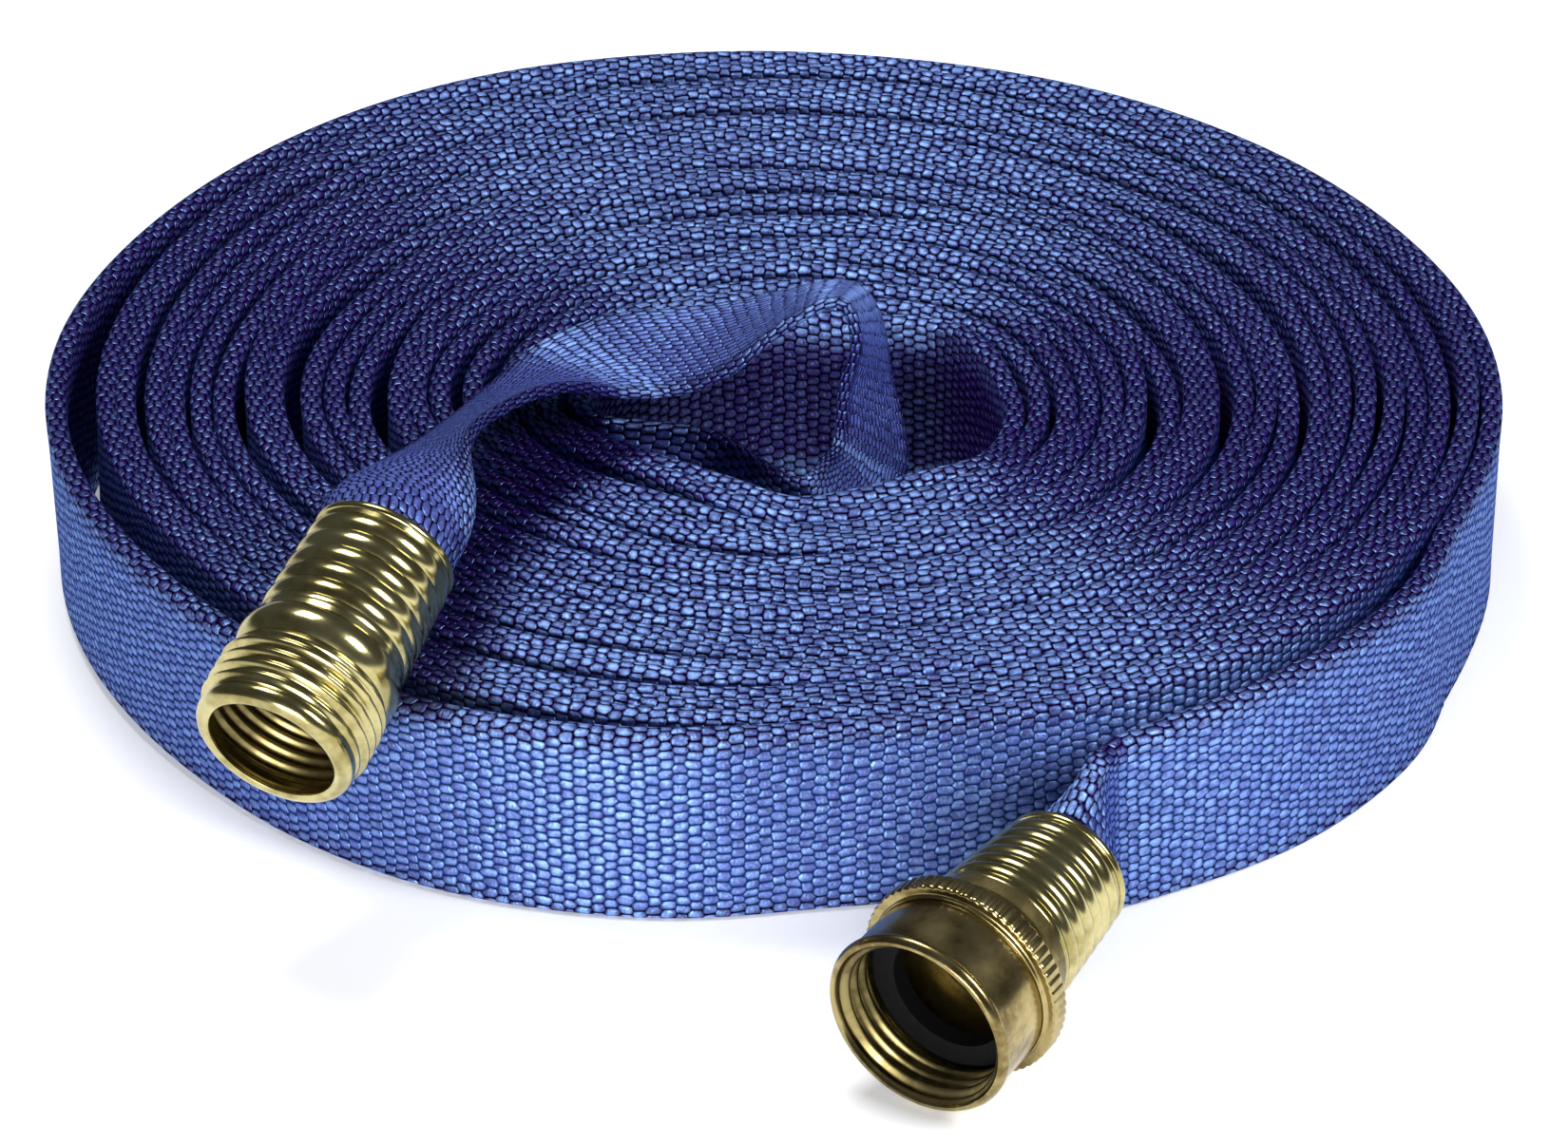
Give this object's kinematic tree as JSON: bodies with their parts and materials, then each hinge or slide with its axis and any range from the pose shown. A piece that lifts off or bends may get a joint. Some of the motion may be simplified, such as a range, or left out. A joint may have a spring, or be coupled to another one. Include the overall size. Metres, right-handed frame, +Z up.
{
  "type": "rolled fire hose",
  "caption": "Flat woven hose rolled on its edge, with a male threaded coupling on the inner end and a swivel female coupling on the outer end.",
  "frame": {"origin": "on the floor, in the middle of the object's footprint", "axes": "+Z up, along the axis of the roll; -Y towards the side that both couplings point to"},
  "size_m": [0.2392, 0.2973, 0.0603],
  "materials": {
    "jacket": "coarse plain weave",
    "liner": "matt",
    "brass": "bright, lightly aged",
    "gasket": "matt"
  },
  "bodies": {
    "hose": {"rolled_hose": "jacket", "inner_tail_jacket": "jacket", "inner_tail_liner": "liner", "outer_end_jacket": "jacket", "outer_end_liner": "liner", "male_ferrule": "brass", "male_expansion_ring": "brass", "male_tail_gasket": "gasket", "male_thread_end": "brass", "female_ferrule": "brass", "female_expansion_ring": "brass", "female_tail_gasket": "gasket", "female_tailpiece": "brass"},
    "nut": {"swivel_nut": "brass", "hose_washer": "gasket"}
  },
  "joints": [
    {"name": "swivel_spin", "type": "hinge", "parent": "hose", "child": "nut", "pos_m": [0.02759, -0.12901, 0.01629], "axis": [-0.5421, -0.8348, -0.0958], "continuous": true}
  ]
}
